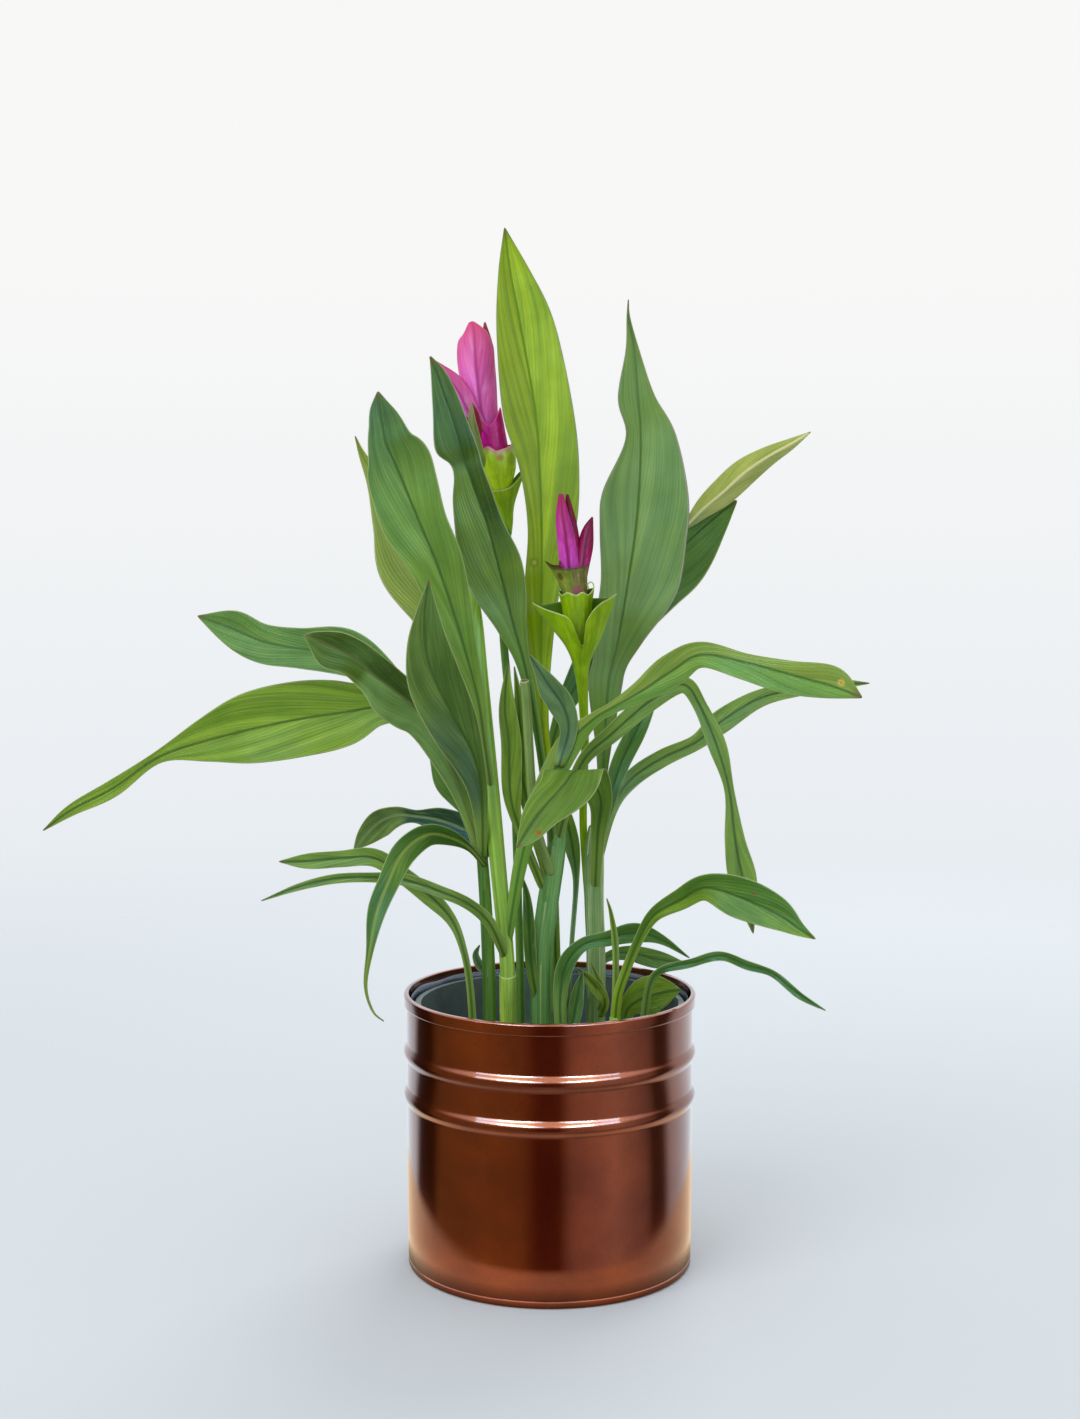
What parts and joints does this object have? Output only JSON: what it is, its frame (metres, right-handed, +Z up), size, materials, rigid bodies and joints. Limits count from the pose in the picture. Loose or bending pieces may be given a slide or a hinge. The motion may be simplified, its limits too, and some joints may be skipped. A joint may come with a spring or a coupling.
{
  "type": "potted turmeric",
  "caption": "Flowering ornamental turmeric in a plastic nursery pot inside a ribbed copper-coloured tin.",
  "frame": {"origin": "middle of the tin's flat base, on the surface that it stands on", "axes": "+Z up through the plant, +X to the right and -Y to the front of the plant"},
  "size_m": [0.4306, 0.1799, 0.5051],
  "materials": {
    "copper_lacquer": "glossy copper-brown lacquer",
    "black_plastic": "satin",
    "potting_soil": "matt, crumbly",
    "leaf_green": "satin leaf",
    "leaf_bright": "satin leaf",
    "bract_green": "satin bract",
    "bract_pink": "satin bract"
  },
  "bodies": {
    "root": {"tin_pot": "copper_lacquer", "nursery_pot": "black_plastic", "soil": "potting_soil", "leaf_low_left": "leaf_green", "stem_left": "leaf_green", "stem_bright": "leaf_bright", "stem_centre": "leaf_bright", "leaf_far_right": "leaf_green", "stem_right": "leaf_green", "leaf_front_right": "leaf_green", "leaf_wavy": "leaf_green", "leaf_short": "leaf_green", "leaf_back": "leaf_green", "leaf_inside": "leaf_green", "bloom_left_green": "bract_green", "bloom_left_pink": "bract_pink", "bloom_right_green": "bract_green", "bloom_right_pink": "bract_pink"}
  },
  "joints": []
}
